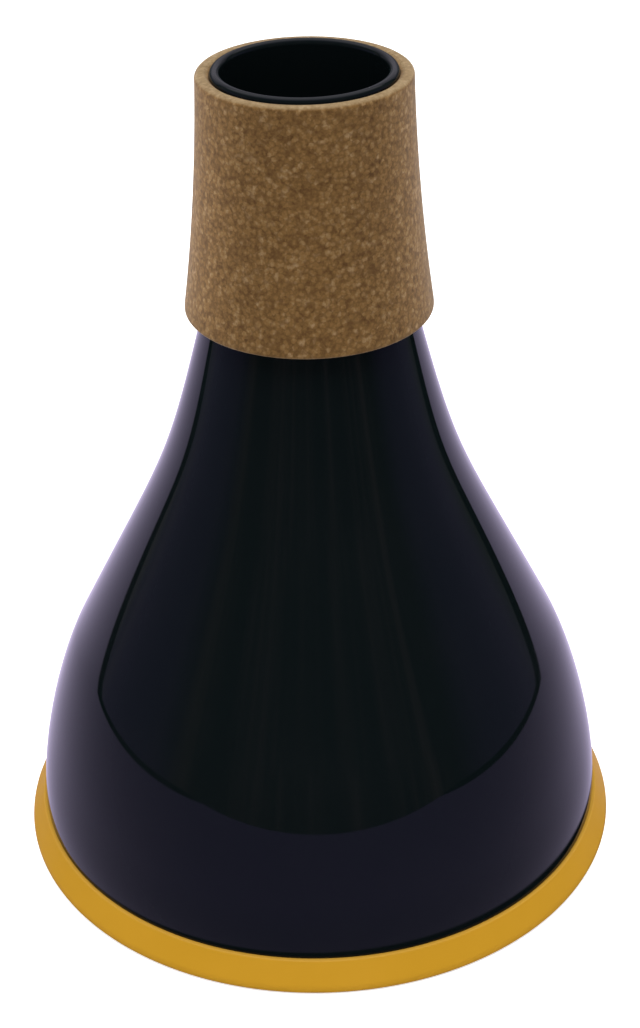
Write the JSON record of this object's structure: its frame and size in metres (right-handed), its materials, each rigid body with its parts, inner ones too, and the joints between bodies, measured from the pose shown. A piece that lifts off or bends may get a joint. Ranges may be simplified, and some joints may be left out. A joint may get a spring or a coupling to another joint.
{
  "type": "flugelhorn practice mute",
  "caption": "Bell-shaped flugelhorn practice mute: a flared gloss black shell with a tapered cork sleeve round its neck and a yellow round end cap that it stands on.",
  "frame": {"origin": "centre of the end cap's standing face, at the bottom of the part", "axes": "+Z along the axis of the mute, up through the neck and out of the mouth"},
  "size_m": [0.1104, 0.1104, 0.1455],
  "materials": {
    "shell_plastic": "glossy black moulded plastic",
    "cork": "fine agglomerated cork, matte",
    "cap_plastic": "satin golden yellow moulded plastic",
    "tube_plastic": "satin black extruded plastic",
    "bush_rubber": "soft black rubber",
    "foam": "charcoal open-cell foam"
  },
  "bodies": {
    "root": {"shell": "shell_plastic", "cork_sleeve": "cork", "end_cap": "cap_plastic", "vent_tube": "tube_plastic", "vent_bush": "bush_rubber", "base_foam": "foam", "wall_foam": "foam"}
  },
  "joints": []
}
